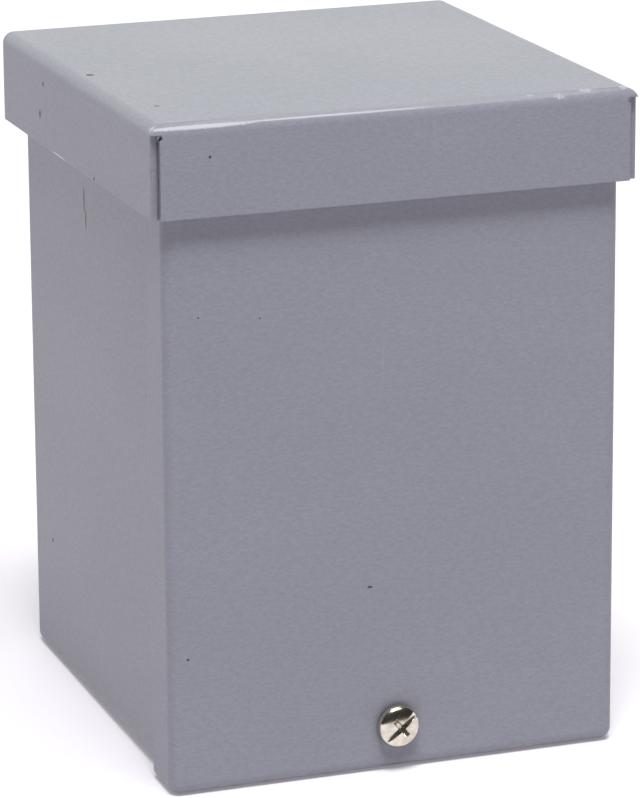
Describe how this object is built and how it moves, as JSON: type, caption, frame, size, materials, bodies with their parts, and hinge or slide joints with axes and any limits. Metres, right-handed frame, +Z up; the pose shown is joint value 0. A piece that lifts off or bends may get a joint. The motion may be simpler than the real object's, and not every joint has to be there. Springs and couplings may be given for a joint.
{
  "type": "ac disconnect box",
  "caption": "Rain-tight sheet-steel disconnect box: drip hood, screwed swing-out cover, two-pole pull-out switch with spring jaws and lugs, and a ground bar.",
  "frame": {"origin": "centre of the bounding box at its lowest level, under the middle of the box", "axes": "+X to the right of a person facing the cover, +Y towards the wall, +Z up"},
  "size_m": [0.1106, 0.1133, 0.1498],
  "materials": {
    "enclosure_paint": "satin grey powder coat",
    "nickel_screw": "bright nickel plate",
    "zinc_steel": "zinc plate",
    "seal_rubber": "matt black sealing rubber",
    "copper": "bare copper",
    "lug_aluminium": "extruded, satin",
    "black_moulding": "black thermoset moulding",
    "shield_plastic": "grey insulating sheet moulding",
    "green_screw": "green-dyed zinc plate"
  },
  "bodies": {
    "enclosure": {"enclosure_body": "enclosure_paint", "drip_hood": "enclosure_paint", "lip_nut": "zinc_steel", "switch_base": "black_moulding", "base_screws": "zinc_steel", "jaw_rivets": "zinc_steel", "line_shield": "shield_plastic", "ground_bar": "lug_aluminium", "bond_screw": "green_screw", "line_strap_left": "copper", "line_jaw_left": "copper", "line_spring_left": "zinc_steel", "line_lug_left": "lug_aluminium", "line_strap_right": "copper", "line_jaw_right": "copper", "line_spring_right": "zinc_steel", "line_lug_right": "lug_aluminium", "load_strap_left": "copper", "load_jaw_left": "copper", "load_spring_left": "zinc_steel", "load_lug_left": "lug_aluminium", "load_strap_right": "copper", "load_jaw_right": "copper", "load_spring_right": "zinc_steel", "load_lug_right": "lug_aluminium"},
    "cover": {"front_cover": "enclosure_paint"},
    "washer": {"seal_washer": "seal_rubber"},
    "screw": {"cover_screw": "nickel_screw"},
    "pull_out": {"pull_head": "black_moulding", "blade_left": "copper", "blade_right": "copper", "blade_screws": "zinc_steel"},
    "line_screw_left": {"line_lug_screw_left": "zinc_steel"},
    "line_screw_right": {"line_lug_screw_right": "zinc_steel"},
    "load_screw_left": {"load_lug_screw_left": "zinc_steel"},
    "load_screw_right": {"load_lug_screw_right": "zinc_steel"},
    "ground_screw_left": {"ground_screw_left": "zinc_steel"},
    "ground_screw_right": {"ground_screw_right": "zinc_steel"}
  },
  "joints": [
    {"name": "cover_swing", "type": "hinge", "parent": "enclosure", "child": "cover", "pos_m": [0, -0.05415, 0.1294], "axis": [-1, 0, 0], "range_deg": [0, 75]},
    {"name": "cover_screw_out", "type": "slide", "parent": "cover", "child": "washer", "axis": [0, -1, 0], "range_m": [0, 0.00794]},
    {"name": "cover_screw_turn", "type": "hinge", "parent": "washer", "child": "screw", "pos_m": [0, -0.05285, 0.0104], "axis": [0, -1, 0], "range_deg": [0, 3600]},
    {"name": "pull_head_out", "type": "slide", "parent": "enclosure", "child": "pull_out", "axis": [0, -1, 0], "range_m": [0, 0.032]},
    {"name": "line_lug_screw_left_turn", "type": "hinge", "parent": "enclosure", "child": "line_screw_left", "pos_m": [-0.022, 0.02285, 0.113], "axis": [0, -1, 0], "range_deg": [-2700, 720]},
    {"name": "line_lug_screw_right_turn", "type": "hinge", "parent": "enclosure", "child": "line_screw_right", "pos_m": [0.022, 0.02285, 0.113], "axis": [0, -1, 0], "range_deg": [-2700, 720]},
    {"name": "load_lug_screw_left_turn", "type": "hinge", "parent": "enclosure", "child": "load_screw_left", "pos_m": [-0.022, 0.02285, 0.047], "axis": [0, -1, 0], "range_deg": [-2700, 720]},
    {"name": "load_lug_screw_right_turn", "type": "hinge", "parent": "enclosure", "child": "load_screw_right", "pos_m": [0.022, 0.02285, 0.047], "axis": [0, -1, 0], "range_deg": [-2700, 720]},
    {"name": "ground_screw_left_turn", "type": "hinge", "parent": "enclosure", "child": "ground_screw_left", "pos_m": [-0.012, 0.04855, 0.02], "axis": [0, -1, 0], "range_deg": [-2160, 720]},
    {"name": "ground_screw_right_turn", "type": "hinge", "parent": "enclosure", "child": "ground_screw_right", "pos_m": [0.012, 0.04855, 0.02], "axis": [0, -1, 0], "range_deg": [-2160, 720]}
  ],
  "couplings": [
    {"joint": "cover_screw_turn", "follows": "cover_screw_out", "rad_per_m": 7915.8}
  ]
}
